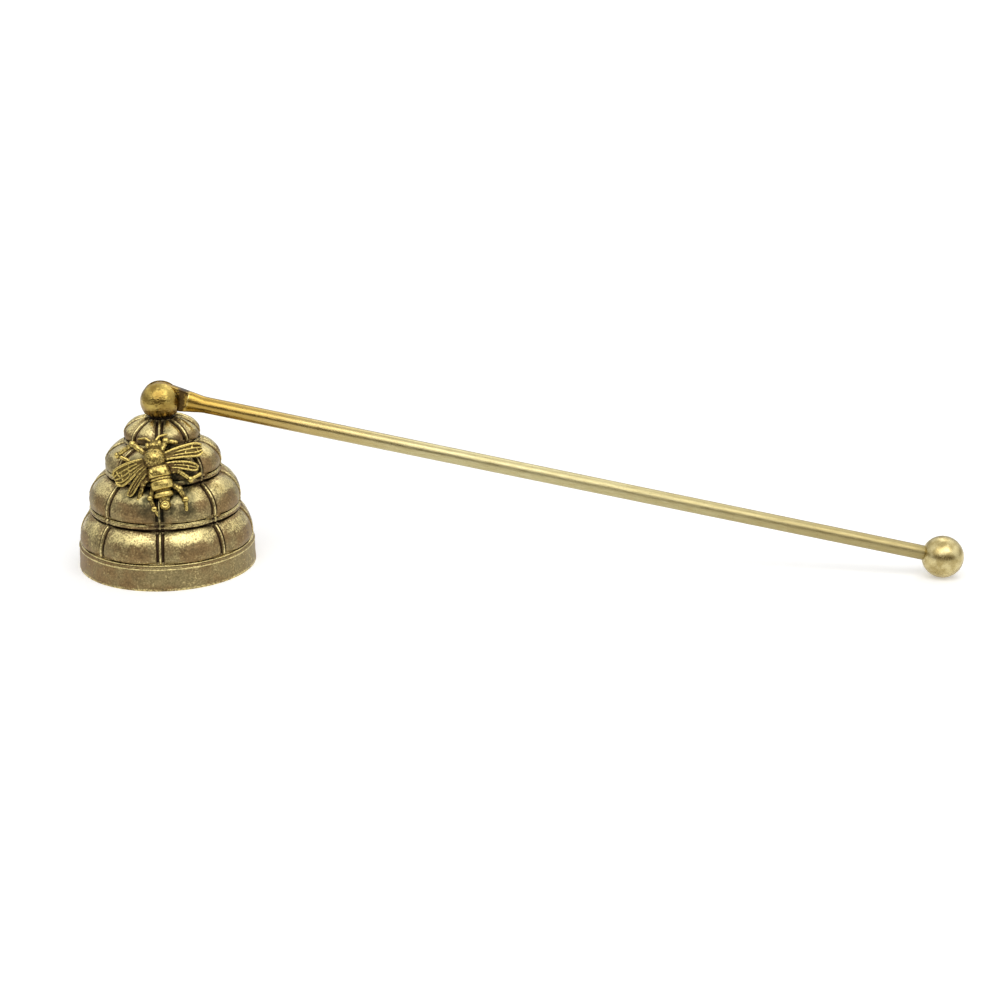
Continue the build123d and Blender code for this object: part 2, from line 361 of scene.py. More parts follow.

# Bee: a small brass casting soldered on the front of the hive, head up and leaning to its left.
# Round thorax, ringed abdomen, veined wings and bent legs, rubbed golden on the body.
# Its hollows hold dark green tarnish, and dark patina with painted shade.
bee_turn = math.radians(7)
bee_tilt = math.radians(12.5)
cast_grain = 0.11
bee_out = Vector((math.sin(bee_turn), -math.cos(bee_turn), 0))
bee_side = Vector((math.cos(bee_turn), math.sin(bee_turn), 0))
waist_two = seams[2] + waist_share * roll_heights[2]
waist_one = seams[1] + waist_share * roll_heights[1]
bee_seat = bee_out * roll_radii[2] + Vector((0, 0, waist_two))
uphill = (bee_seat - bee_out * roll_radii[1] - Vector((0, 0, waist_one))).normalized()
bee_right = bee_side * math.cos(bee_tilt) + uphill * math.sin(bee_tilt)
bee_normal = bee_side.cross(uphill)
bee_up = bee_normal.cross(bee_right)
bee_place = Matrix((bee_right, bee_up, bee_normal)).transposed().to_4x4()
bee_place.translation = bee_seat * mm
bee_points, bee_faces = [], []


def egg(turns, rows):
    """Points and faces of a round lump of unit radius."""
    tops = np.linspace(0, math.pi, rows + 1)[1:-1]
    rounds = np.arange(turns) * 2 * math.pi / turns
    points = [(0, 0, 1)]
    for t in tops:
        points += [(math.sin(t) * math.cos(r), math.sin(t) * math.sin(r), math.cos(t)) for r in rounds]
    points.append((0, 0, -1))
    last = len(points) - 1
    faces = []
    for one in range(turns):
        two = (one + 1) % turns
        faces.append((0, 1 + one, 1 + two))
        faces.append((last, last - turns + two, last - turns + one))
        for ring in range(len(tops) - 1):
            upper, lower = 1 + ring * turns, 1 + (ring + 1) * turns
            faces.append((upper + one, lower + one, lower + two, upper + two))
    return np.array(points, float), faces


big_egg, small_egg = egg(28, 18), egg(9, 6)


def join(points, faces):
    """Add a closed form to the bee."""
    first = len(bee_points)
    bee_points.extend(np.asarray(points, float).tolist())
    bee_faces.extend(tuple(first + number for number in face) for face in faces)


def blob(centre, radii, turn=0.0):
    """Egg-shaped lump, turned in the bee's plane."""
    form = Matrix.Rotation(math.radians(turn), 3, "Z") @ Matrix.Diagonal(Vector(radii))
    join(big_egg[0] @ np.array(form).T + np.array(centre), big_egg[1])


def limb(points, thick_start, thick_end):
    """Bent leg, vein or feeler as a chain of close beads."""
    line = np.array([tuple(point) for point in points], float)
    gone = np.concatenate([[0], np.cumsum(np.linalg.norm(np.diff(line, axis=0), axis=1))])
    count = max(3, int(gone[-1] / (0.45 * min(thick_start, thick_end))))
    for share in np.linspace(0, 1, count):
        centre = [np.interp(share * gone[-1], gone, line[:, axis]) for axis in range(3)]
        thick = thick_start + (thick_end - thick_start) * share
        join(small_egg[0] * thick + np.array(centre), small_egg[1])


def sag(across, along):
    """Height of a wing over the bee's plane."""
    return 1.0 - 0.023 * across * across - 0.012 * (along - 3.5) ** 2


def wing(front, back, thick, veins, cells):
    """Wing blade between its front and back edge, with raised veins and cross veins."""
    count = 26
    front, back = soften(front, 3), soften(back, 3)
    shares = np.linspace(0, 1, count)

    def along(line, share):
        """Spot on an edge of the wing, by its share of the way out."""
        gone = np.concatenate([[0], np.cumsum(np.linalg.norm(np.diff(line, axis=0), axis=1))])
        return np.array([np.interp(share * gone[-1], gone, line[:, axis]) for axis in (0, 1)])

    def spot(share, width, lift=0.0):
        """Spot on the wing, by its share of the way out and from front to back."""
        x, y = along(front, share) * (1 - width) + along(back, share) * width
        cup = 0.35 * (width - 0.5) ** 2 - 0.12
        return Vector((x, y, sag(x, y) + cup + lift))

    widths = np.linspace(0, 1, 9)
    rows = len(widths)
    points = [spot(s, w) for s in shares for w in widths]
    points += [spot(s, w, -thick) for s in shares for w in widths]
    under = count * rows
    faces = []
    for one in range(count - 1):
        for two in range(rows - 1):
            a, b = one * rows + two, (one + 1) * rows + two
            faces += [(a, b, b + 1, a + 1), (under + a + 1, under + b + 1, under + b, under + a)]
        for two in (0, rows - 1):
            a, b = one * rows + two, (one + 1) * rows + two
            faces.append((b, a, under + a, under + b))
    for one in (0, count - 1):
        for two in range(rows - 1):
            a = one * rows + two
            faces.append((a, a + 1, under + a + 1, under + a))
    join([tuple(point) for point in points], faces)
    for width, thickness in veins:
        limb([spot(s, width, 0.1) for s in np.linspace(0.02, 0.98, 12)], thickness, thickness * 0.85)
    for share, first, second, slant in cells:
        limb([spot(share + slant * t, first + (second - first) * t, 0.08) for t in (0, 0.5, 1)], 0.22, 0.2)


blob((0.0, 4.0, 1.15), (2.55, 2.6, 2.5))
blob((0.0, 1.95, 0.75), (1.5, 0.9, 1.35))
blob((0.55, 7.0, 0.6), (1.75, 1.25, 1.25))
blob((-0.75, 7.25, 0.95), (0.62, 0.85, 0.7), 20)
blob((1.8, 7.2, 0.95), (0.62, 0.85, 0.7), -20)
blob((0.55, 8.0, 0.55), (0.7, 0.55, 0.6))
# Rings of the abdomen: place along the bee, half width, middle across, middle height and half height.
abdomen = (
    (2.45, 0.8, 0.15, 0.7, 0.9), (2.25, 1.8, 0.2, 0.75, 1.7), (1.9, 2.45, 0.25, 0.8, 2.1),
    (1.2, 2.68, 0.28, 0.85, 2.28), (0.1, 2.68, 0.3, 0.85, 2.28), (-0.4, 2.6, 0.3, 0.85, 2.2),
    (-0.56, 2.2, 0.3, 0.78, 1.85), (-0.66, 2.2, 0.3, 0.78, 1.85), (-0.82, 2.52, 0.3, 0.82, 2.1),
    (-1.08, 2.52, 0.3, 0.82, 2.1), (-1.2, 2.2, 0.3, 0.78, 1.85), (-1.3, 2.2, 0.3, 0.78, 1.85),
    (-1.5, 2.6, 0.3, 0.8, 2.16), (-2.5, 2.66, 0.3, 0.8, 2.12), (-3.3, 2.4, 0.28, 0.75, 1.92),
    (-3.6, 1.8, 0.25, 0.6, 1.45), (-3.95, 1.75, 0.22, 0.58, 1.4), (-4.2, 2.2, 0.2, 0.68, 1.76),
    (-4.9, 2.28, 0.15, 0.68, 1.78), (-5.15, 2.0, 0.12, 0.62, 1.6), (-5.4, 1.4, 0.1, 0.5, 1.15),
    (-6.2, 1.2, 0.05, 0.45, 1.0), (-6.8, 0.5, 0.02, 0.4, 0.5),
)
ring_points = 48
ring_turn = np.linspace(0, 2 * math.pi, ring_points + 1)[:-1]
abdomen_points = [
    (x + wide * math.cos(a), y, z + tall * math.sin(a)) for y, wide, x, z, tall in abdomen for a in ring_turn
]
last_ring = ring_points * (len(abdomen) - 1)
abdomen_faces = [tuple(range(ring_points - 1, -1, -1)), tuple(range(last_ring, last_ring + ring_points))]
for first in range(0, last_ring, ring_points):
    following = first + ring_points
    for one in range(ring_points):
        two = (one + 1) % ring_points
        abdomen_faces.append((first + one, first + two, following + two, following + one))
join(abdomen_points, abdomen_faces)
blob((0.02, -7.0, 0.55), (1.3, 1.2, 1.25))
tip_turn = np.linspace(0, 6.2832, 17)
limb([(0.02 + 0.75 * math.cos(a), -7.0 + 0.7 * math.sin(a), 1.62) for a in tip_turn], 0.2, 0.2)
for share in (-1, 0, 1):
    blob((0.28 + 1.5 * share, 0.75, 2.75 - 0.42 * abs(share)), (0.72, 1.0, 0.52))
wing(
    front=[(2.0, 4.6), (4.6, 5.3), (7.5, 5.75), (10.0, 5.9), (11.1, 5.2)],
    back=[(2.0, 3.3), (4.6, 3.15), (7.5, 2.85), (10.0, 2.5), (11.1, 3.4)],
    thick=0.75,
    veins=((0.03, 0.42), (0.36, 0.27), (0.68, 0.26), (0.97, 0.36)),
    cells=(
        (0.5, 0.03, 0.36, 0.06), (0.6, 0.36, 0.68, -0.06), (0.78, 0.03, 0.36, -0.05),
        (0.84, 0.36, 0.97, 0.05), (0.45, 0.68, 0.97, 0.08),
    ),
)
wing(
    front=[(-2.0, 4.5), (-4.5, 4.75), (-7.5, 4.6), (-9.9, 4.0), (-10.4, 3.0)],
    back=[(-2.0, 3.1), (-4.3, 2.0), (-6.8, 0.4), (-8.9, -0.5), (-10.0, 0.7)],
    thick=0.75,
    veins=((0.03, 0.42), (0.3, 0.26), (0.55, 0.25), (0.78, 0.25), (0.97, 0.36)),
    cells=(
        (0.45, 0.03, 0.3, 0.05), (0.55, 0.3, 0.55, -0.06), (0.72, 0.3, 0.78, 0.05),
        (0.5, 0.55, 0.97, 0.08), (0.84, 0.03, 0.55, -0.04), (0.86, 0.78, 0.97, 0.04),
    ),
)
wing(
    front=[(2.2, 2.4), (4.5, 2.35), (7.0, 1.9), (8.9, 1.0), (9.3, 0.2)],
    back=[(2.2, 1.4), (4.2, 0.9), (6.4, 0.1), (8.2, -0.6), (9.1, -0.4)],
    thick=0.65,
    veins=((0.03, 0.34), (0.5, 0.2), (0.97, 0.3)),
    cells=((0.5, 0.03, 0.5, 0.05), (0.66, 0.5, 0.97, 0.05)),
)
wing(
    front=[(-2.1, 2.6), (-4.2, 1.5), (-6.3, -0.3), (-7.9, -2.0), (-8.0, -2.7)],
    back=[(-2.1, 1.4), (-3.6, 0.3), (-5.4, -1.4), (-6.9, -2.9), (-7.6, -3.0)],
    thick=0.65,
    veins=((0.03, 0.32), (0.5, 0.2), (0.97, 0.28)),
    cells=((0.5, 0.03, 0.5, 0.05), (0.66, 0.5, 0.97, 0.05)),
)
# Legs as points across, along and above the bee, from the body to the foot.
legs = (
    [(-1.5, 5.4, 0.7), (-4.2, 8.6, 0.5), (-8.2, 7.2, -1.2), (-6.0, 5.3, -0.9)],
    [(1.7, 5.2, 0.7), (3.4, 7.6, 0.3), (5.6, 6.9, -0.5)],
    [(1.9, 0.6, 0.4), (4.6, 0.2, -0.1), (6.8, -2.3, -1.0), (9.2, -1.4, -2.2)],
    [(-1.6, 0.4, 0.4), (-3.9, -0.9, -0.1), (-5.8, -4.3, -1.0), (-4.4, -6.9, -0.8)],
    [(1.9, -2.2, 0.3), (3.9, -4.0, 0.0), (4.7, -6.6, -0.5), (4.4, -9.0, -0.6)],
    [(-1.5, -2.2, 0.3), (-3.0, -4.6, 0.0), (-2.7, -7.2, -0.2), (-2.1, -8.8, -0.4)],
)
for leg in legs:
    limb(leg, 0.78, 0.5)
    for joint in leg[1:-1]:
        blob(joint, (0.84, 0.84, 0.74))
limb([(0.2, 7.9, 0.8), (-0.9, 9.2, 0.5), (-2.6, 9.6, -0.4)], 0.36, 0.32)
limb([(1.0, 7.9, 0.8), (2.2, 9.0, 0.5), (3.9, 9.1, -0.3)], 0.36, 0.32)
limb([(0.0, 5.2, 1.0), (-0.9, 6.6, 0.9), (0.4, 6.2, 1.6), (1.6, 6.5, 0.9)], 0.3, 0.3)
rough = bpy.data.meshes.new("bee")
rough.from_pydata(bee_points, [], bee_faces)
rough_bee = bpy.data.objects.new("bee", rough)
bpy.context.scene.collection.objects.link(rough_bee)
one_skin = rough_bee.modifiers.new("one skin", "REMESH")
one_skin.mode = "VOXEL"
one_skin.voxel_size = cast_grain
worn_soft = rough_bee.modifiers.new("worn soft", "SMOOTH")
worn_soft.factor = 0.5
worn_soft.iterations = 2
bee_mesh = bpy.data.meshes.new_from_object(rough_bee.evaluated_get(bpy.context.evaluated_depsgraph_get()))
bpy.data.objects.remove(rough_bee)
bee_mesh.transform(Matrix.Scale(mm, 4))
bee_mesh.shade_smooth()
bee_brass = antique_brass(
    "rubbed cast brass",
    bright=tint(206, 183, 106),
    olive=tint(118, 101, 56),
    brown=tint(92, 72, 42),
    recess=tint(42, 31, 22),
    tarnish=tint(28, 40, 33),
    sheen=0.26,
    tooth=0.02,
)
bee = stand("bee", bee_mesh, bee_brass, bee_place)
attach(bee, "bell")
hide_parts("bee_ornament")

# Wear, patina and painted light of hive and bee: hands rub the raised brass bright, and the hollows, grooves
# and gaps under the beads get dark patina with painted shade.
# Dark green tarnish is left on the hive beside the bee, from the soldering.


def points_of(piece):
    """Points and normals of a piece in metres, in the frame of the whole object."""
    mesh = piece.data
    points = np.empty(len(mesh.vertices) * 3, np.float32)
    normals = np.empty(len(mesh.vertices) * 3, np.float32)
    mesh.vertices.foreach_get("co", points)
    mesh.vertex_normals.foreach_get("vector", normals)
    turn = np.array(piece.matrix_world.to_3x3())
    points = points.reshape(-1, 3) @ turn.T + np.array(piece.matrix_world.translation)
    return points, normals.reshape(-1, 3) @ turn.T


def tree_of(*pieces):
    """Search tree over pieces, in the frame of the whole object."""
    points, faces = [], []
    for piece in pieces:
        first = len(points)
        points += points_of(piece)[0].tolist()
        faces += [[first + v for v in face.vertices] for face in piece.data.polygons]
    return BVHTree.FromPolygons(points, faces)


ray_count = 26
turns = np.arange(ray_count) * math.pi * (3 - math.sqrt(5))
lifts = 1 - 2 * (np.arange(ray_count) + 0.5) / ray_count
rays = np.stack([np.sqrt(1 - lifts**2) * np.cos(turns), np.sqrt(1 - lifts**2) * np.sin(turns), lifts], 1)
ray_vectors = [Vector(ray) for ray in rays]


def sheltered(points, normals, around, far):
    """Share of the sky over each point that other metal hides."""
    facing = normals @ rays.T
    hidden = np.zeros(len(points))
    starts = points + normals * 0.04 * mm
    for number, start in enumerate(starts):
        seat = Vector(start)
        total = blocked = 0.0
        for ray in np.nonzero(facing[number] > 0.15)[0]:
            weight = facing[number, ray]
            total += weight
            hit = around.ray_cast(seat, ray_vectors[ray], far)[3]
            if hit is not None:
                blocked += weight * (1 - hit / far)
        hidden[number] = blocked / total if total else 0
    return hidden


around = tree_of(bell, bee)
bee_tree = tree_of(bee)
bell_points, bell_normals = points_of(bell)
rows, turn = bell_rows.shape[:2]
shown = outside * turn
# Share of sky that metal hides over each point, painted as shade; the inside of the bell gets a flat share.
bell_shelter = np.full(rows * turn, 0.3)
bell_shelter[:shown] = sheltered(bell_points[:shown], bell_normals[:shown], around, 3.0 * mm)
smooth = bell_rows.copy()
for _ in range(10):
    up_and_down = np.roll(smooth, 1, 0) + np.roll(smooth, -1, 0)
    smooth = (up_and_down + np.roll(smooth, 1, 1) + np.roll(smooth, -1, 1)) / 4
proud = np.einsum("ij,ij->i", (bell_rows - smooth).reshape(-1, 3), bell_normals)
panel_wear = np.tile(0.3 + 0.7 * ease(panel_edge, panel_crown * 0.85, cross), strap_count)
panel_wear = 1 - relief[:, None] * (1 - panel_wear[None])
bell_wear_and_light = np.array(wear_and_light_rows)[:, None] * panel_wear
strap_wear = np.tile(ease(-0.2, strap_crest, np.where(place < strap_share, cross, -1)), strap_count)
bell_wear_and_light = np.maximum(bell_wear_and_light, relief[:, None] * strap_wear[None] * 0.42).ravel()
bell_wear_and_light = bell_wear_and_light + np.clip(proud / 0.12, -0.5, 0.5) * 0.5
damp_reach = 3.2 * mm
bell_near = np.zeros(rows * turn)
for number in range(shown):
    near_bee = bee_tree.find_nearest(Vector(bell_points[number]), damp_reach)[3]
    if near_bee is not None:
        bell_near[number] = 1 - near_bee / damp_reach
bell_local = (bell_points - np.array(bee_place.translation)) @ np.array(bee_place.to_3x3()) / mm
across_bee, along_bee = np.abs(bell_local[:, 0] - 0.3), bell_local[:, 1]
beside = ease(7.0, 5.0, across_bee) * ease(-7.5, -5.0, along_bee) * ease(3.0, 1.0, along_bee)
bell_damp = np.maximum(0.75 * ease(0.1, 0.8, bell_near), beside * ease(0.0, 0.5, bell_near))
# Grooves beside the straps and the gaps under the beads are painted dark: patina with painted shade.
grooves = np.tile(ease(panel_edge - 0.12, groove_floor + 0.1, cross), strap_count)
groove_patina_and_gap_shade = np.maximum(-np.array(wear_and_light_rows)[:, None], 0.68 * relief[:, None] * grooves[None]).ravel()
mark(bell_mesh, "shelter", np.maximum(bell_shelter, groove_patina_and_gap_shade))
mark(bell_mesh, "wear_and_light", bell_wear_and_light)
mark(bell_mesh, "damp", bell_damp)
bee_spots, bee_normals = points_of(bee)
bee_shelter = sheltered(bee_spots, bee_normals, around, 2.5 * mm)
bee_local = np.array([v.co for v in bee_mesh.vertices]) / mm
bee_level = bee_local[:, 2] - np.array([sag(x, y) for x, y in bee_local[:, :2]])
mark(bee_mesh, "shelter", np.clip(bee_shelter, 0, 1))
bee_edges = np.empty(len(bee_mesh.edges) * 2, np.int32)
bee_mesh.edges.foreach_get("vertices", bee_edges)
one_end, other_end = bee_edges[0::2], bee_edges[1::2]
links = np.bincount(bee_edges, minlength=len(bee_local))[:, None]
calm = bee_local.copy()
for _ in range(14):
    from_other = [np.bincount(one_end, calm[other_end, axis], len(calm)) for axis in range(3)]
    from_one = [np.bincount(other_end, calm[one_end, axis], len(calm)) for axis in range(3)]
    calm = (np.array(from_other) + np.array(from_one)).T / links
local_normals = bee_normals @ np.array(bee.matrix_world.to_3x3())
bee_proud = np.einsum("ij,ij->i", bee_local - calm, local_normals)
wing_wear = 0.22 * ease(4.5, 8.5, np.abs(bee_local[:, 0])) * ease(-0.6, 0.2, bee_level)
body_wear = (0.7 - 0.55 * ease(1.2, 2.4, bee_local[:, 1])) * ease(0.5, 1.9, bee_level)
edge_wear = 0.9 * np.clip(bee_proud / 0.09, -0.7, 0.7)
bee_rub = 0.12 + wing_wear + body_wear + edge_wear
# Where metal hides the sky over the bee, its bright wear is cut down: painted shade.
mark(bee_mesh, "wear_and_light", bee_rub * (1 - 0.7 * bee_shelter))
mark(bee_mesh, "damp", ease(0.4, 0.8, bee_shelter) * 0.7)

# Pivot ball: turned and polished brass with a collar on the crown and a threaded stud below.
# It is slotted across for the tongue of the handle and drilled for the hinge pin.
ball_radius = 4.75
ball_rise = 3.8
ball_height = crown_top + ball_rise
collar_radius = 3.3
stud_radius = 1.5
stud_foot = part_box("pivot_ball")[0].z / mm
thread_pitch = 0.5
slot_width = 2.2
slot_floor = 37.15
slot_cutter_reach = 7
ball_edge = 0.1
pin_low, pin_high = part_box("hinge_pin")
pin_height = (pin_low.z + pin_high.z) / 2 / mm
pin_radius = (pin_high.x - pin_low.x) / 2 / mm
round_turn = np.linspace(0, 2 * math.pi, 161)[:-1]


def turned(section):
    """Rings of a turned piece from its half section, radius and height in millimetres."""
    section = np.asarray(section, float)
    ring, level = section[:, :1], section[:, 1:]
    level = np.broadcast_to(level, (len(section), len(round_turn)))
    return np.stack([ring * np.cos(round_turn), ring * np.sin(round_turn), level], -1)


def cut(name, mesh, cutters, edge):
    """Mesh less its cutters, with its sharp edges broken."""
    blank = bpy.data.objects.new(name, mesh)
    bpy.context.scene.collection.objects.link(blank)
    tools = []
    for tool_mesh, way in cutters:
        tool = bpy.data.objects.new(name + " tool", tool_mesh)
        bpy.context.scene.collection.objects.link(tool)
        tools.append(tool)
        bite = blank.modifiers.new("cut", "BOOLEAN")
        bite.operation = way
        bite.solver = "EXACT"
        bite.object = tool
    broken = blank.modifiers.new("broken edge", "BEVEL")
    broken.limit_method = "ANGLE"
    broken.angle_limit = math.radians(42)
    broken.width = edge * mm
    broken.segments = 2
    made = bpy.data.meshes.new_from_object(blank.evaluated_get(bpy.context.evaluated_depsgraph_get()))
    for used in [blank] + tools:
        bpy.data.objects.remove(used)
    made.shade_smooth()
    made.set_sharp_from_angle(angle=math.radians(35))
    return made


def block(name, low, high):
    """Box between two corners in millimetres."""
    form = bmesh.new()
    middle = [(a + b) / 2 * mm for a, b in zip(low, high)]
    sizes = Vector([(b - a) * mm for a, b in zip(low, high)])
    bmesh.ops.create_cube(form, size=1, matrix=Matrix.Translation(middle) @ Matrix.Diagonal(sizes).to_4x4())
    mesh = bpy.data.meshes.new(name)
    form.to_mesh(mesh)
    form.free()
    return mesh


def bar_across(name, radius, reach, height):
    """Round bar along Y at a height, in millimetres."""
    form = bmesh.new()
    lie = Matrix.Translation((0, 0, height * mm)) @ Matrix.Rotation(math.pi / 2, 4, "X")
    bmesh.ops.create_cone(
        form,
        cap_ends=True,
        segments=64,
        radius1=radius * mm,
        radius2=radius * mm,
        depth=2 * reach * mm,
        matrix=lie,
    )
    mesh = bpy.data.meshes.new(name)
    form.to_mesh(mesh)
    form.free()
    return mesh


def polished_brass(name, bright, deep, dark, shade_line, sheen):
    """Polished brass with faint turning marks, small dents and dull clouds, going brown and then near black
    towards the bottom: painted reflection of the hive and painted shadow over the collar.
    """
    material, tree, surface = new_metal(name)
    clouds = grain(tree, 2.6, 4.0)
    specks = grain(tree, 0.35, 3.0)
    lines = grain(tree, 0.22, 2.0, (0.15, 0.15, 1.0))
    colour = blend(tree, span(tree, clouds, 0.35, 0.65), deep, bright)
    colour = blend(tree, span(tree, specks, 0.58, 0.75, 0.0, 0.5), colour, dark)
    level = put(tree, "SeparateXYZ", {"Vector": put(tree, "TexCoord", {}, "Object")}, 2)
    level = figure(tree, "ADD", level, span(tree, specks, 0.3, 0.7, -0.3 * mm, 0.3 * mm))
    # Towards the bottom the ball is painted brown, a painted reflection of the hive, then near black over the
    # collar, a painted shadow.
    brown_reflection_share = span(tree, level, (shade_line + 2.2) * mm, shade_line * mm, 0.0, 0.55)
    reflected_hive_brown, collar_shadow = tint(122, 94, 62), tint(30, 24, 20)
    colour = blend(tree, brown_reflection_share, colour, reflected_hive_brown)
    colour = blend(tree, span(tree, level, shade_line * mm, (shade_line - 0.9) * mm), colour, collar_shadow)
    tree.links.new(colour, surface.inputs["Base Color"])
    tree.links.new(span(tree, clouds, 0.3, 0.7, sheen, sheen + 0.14), surface.inputs["Roughness"])
    height = figure(tree, "ADD", clouds, figure(tree, "MULTIPLY", lines, 0.12))
    relief = {"Strength": 0.8, "Distance": 0.5 * mm, "Height": height}
    tree.links.new(put(tree, "Bump", relief), surface.inputs["Normal"])
    return material


threads = []
level = stud_foot + 0.25
while level < seat_height - 0.3:
    threads += [(stud_radius - 0.18, level), (stud_radius, level + thread_pitch / 2)]
    level += thread_pitch
meet = math.asin(-(ball_height - crown_top - 1.1) / ball_radius)
sweep = np.linspace(meet, math.pi / 2 - 0.004, 70)
ball_section = [(stud_radius - 0.4, stud_foot), (stud_radius - 0.2, stud_foot + 0.12)] + threads
ball_section += [(stud_radius, seat_height), (stud_radius, crown_top), (collar_radius, crown_top)]
ball_section += [(collar_radius, crown_top + 0.25), (collar_radius - 0.05, crown_top + 0.5)]
ball_section += [(ball_radius * math.cos(a), ball_height + ball_radius * math.sin(a)) for a in sweep]
ball_brass = polished_brass(
    "polished brass",
    bright=tint(190, 166, 90),
    deep=tint(148, 122, 60),
    dark=tint(84, 64, 34),
    shade_line=crown_top + 1.5,
    sheen=0.12,
)
slot_start = (-slot_cutter_reach, -slot_width / 2, slot_floor)
slot_stop = (slot_cutter_reach, slot_width / 2, ball_height + slot_cutter_reach)
ball_mesh = cut(
    "pivot ball",
    skin("pivot ball", turned(ball_section)),
    (
        (block("slot", slot_start, slot_stop), "DIFFERENCE"),
        (bar_across("pin hole", pin_radius, ball_radius + 1, pin_height), "DIFFERENCE"),
    ),
    ball_edge,
)
pivot_ball = stand("pivot-ball", ball_mesh, ball_brass)
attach(pivot_ball, "bell")
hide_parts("pivot_ball")

# Washer and nut: plain machined brass inside the bell, clamping the stud of the ball to the crown.
# They show only from below.
washer_low, washer_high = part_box("crown_washer")
nut_low, nut_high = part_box("crown_nut")
washer_radius = washer_high.x / mm
nut_flat = min(nut_high.x, nut_high.y) / mm
edge_break = 0.12
washer_bore = stud_radius + 0.1
nut_bore = stud_radius + 0.05
nut_edge = 0.3


def machined_brass(name, bright, deep):
    """Machined brass with fine tool rings and dull spots."""
    material, tree, surface = new_metal(name)
    place = put(tree, "TexCoord", {}, "Object")
    rings = {"Vector": place, "Scale": 1400.0, "Distortion": 0.6, "Detail": 2.0}
    tool = put(tree, "TexWave", rings, 1, wave_type="RINGS", rings_direction="Z")
    spots = grain(tree, 0.7, 3.0)
    colour = blend(tree, span(tree, spots, 0.4, 0.7), bright, deep)
    tree.links.new(colour, surface.inputs["Base Color"])
    tree.links.new(span(tree, spots, 0.3, 0.7, 0.28, 0.45), surface.inputs["Roughness"])
    relief = {"Strength": 0.25, "Distance": 0.02 * mm, "Height": tool}
    tree.links.new(put(tree, "Bump", relief), surface.inputs["Normal"])
    return material


plain_brass = machined_brass("plain brass", tint(196, 168, 98), tint(140, 112, 60))
low, high = washer_low.z / mm, washer_high.z / mm
washer_section = [(washer_bore, low + edge_break), (washer_bore + edge_break, low)]
washer_section += [(washer_radius - edge_break, low), (washer_radius, low + edge_break)]
washer_section += [(washer_radius, high), (washer_bore, high)]
washer = stand("crown-washer", skin("crown washer", turned(washer_section), loop=True), plain_brass)
washer.data.set_sharp_from_angle(angle=math.radians(35))
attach(washer, "bell")
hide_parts("crown_washer")
low, high = nut_low.z / mm, nut_high.z / mm
facet_turn = 0.0 if nut_high.x > nut_high.y else math.pi / 6
facet = (round_turn - facet_turn) % (math.pi / 3) - math.pi / 6
hexagon = nut_flat / np.cos(facet)
nut_face = np.minimum(hexagon, nut_flat * 1.02)
nut_hole = np.full_like(hexagon, nut_bore)
nut_steps = [(nut_hole, low + 0.2), (nut_bore + 0.18 * (hexagon - nut_bore), low), (nut_face, low)]
nut_steps += [(hexagon, low + nut_edge), (hexagon, high - nut_edge), (nut_face, high), (nut_hole, high)]
nut_rows = []
for ring, level in nut_steps:
    flat = np.full_like(ring, level)
    nut_rows.append(np.stack([ring * np.cos(round_turn), ring * np.sin(round_turn), flat], -1))
nut = stand("crown-nut", skin("crown nut", nut_rows, loop=True), plain_brass)
nut.data.set_sharp_from_angle(angle=math.radians(25))
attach(nut, "bell")
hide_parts("crown_nut")

# Hinge pin: a brass pin pressed through the ball and the eye, its ends filed flush with the ball.
# Only a hairline shows round each end.
pin_gap = 0.012
pin_rings = [0.02, 0.3, 0.55, 0.75, 0.88, 0.95, 1.0]
pin_rows = []
for end in (1, -1):
    for share in pin_rings if end == 1 else pin_rings[::-1]:
        ring = share * (pin_radius - pin_gap)
        x, z = ring * np.cos(round_turn), ring * np.sin(round_turn)
        deep = np.sqrt(ball_radius**2 - x**2 - (z + pin_height - ball_height) ** 2)
        inset = pin_gap + 0.05 * max(0, share - 0.9) / 0.1
        pin_rows.append(np.stack([x, end * (deep - inset), z + pin_height], -1))
pin = stand("hinge-pin", skin("hinge pin", pin_rows), ball_brass)
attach(pin, "bell")
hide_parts("hinge_pin")

# Handle rod: a long drawn brass rod, tapered, flattened at the ball into a tongue with an eye.
# A shoulder stands behind the tongue, and a spigot at the far end sits in the end ball.
# It is satin rubbed along its length, more orange near the ball and browner where a hand holds it; the tongue
# carries painted shadow and the shoulder edge a painted highlight.
hinge = Vector(frame["record"]["behaviour"]["joints"][0]["pos_m"])
handle_length = 187.9
end_ball_radius = 4.95
droop = math.asin((hinge.z / mm - end_ball_radius) / handle_length)
handle_place = Matrix.Translation(hinge) @ Matrix.Rotation(droop, 4, "Y")
rod_near_radius = 1.95
rod_far_radius = 1.73
shoulder_reach = 6.6
flare_length = 4.4
flare_radius = 2.48
eye_radius = 3.3
tongue_thickness = 2.0
tongue_half_height = 0.8 * flare_radius
spigot_radius = 1.4
spigot_length = 5.0
rod_edge = 0.12
rod_end = handle_length - math.sqrt(end_ball_radius**2 - (rod_far_radius + 0.25) ** 2)


def rod_ring(reach, half_width, half_height):
    """Oval ring square to the rod."""
    y, z = half_width * np.cos(round_turn), half_height * np.sin(round_turn)
    return np.stack([np.full_like(y, reach), y, z], -1)


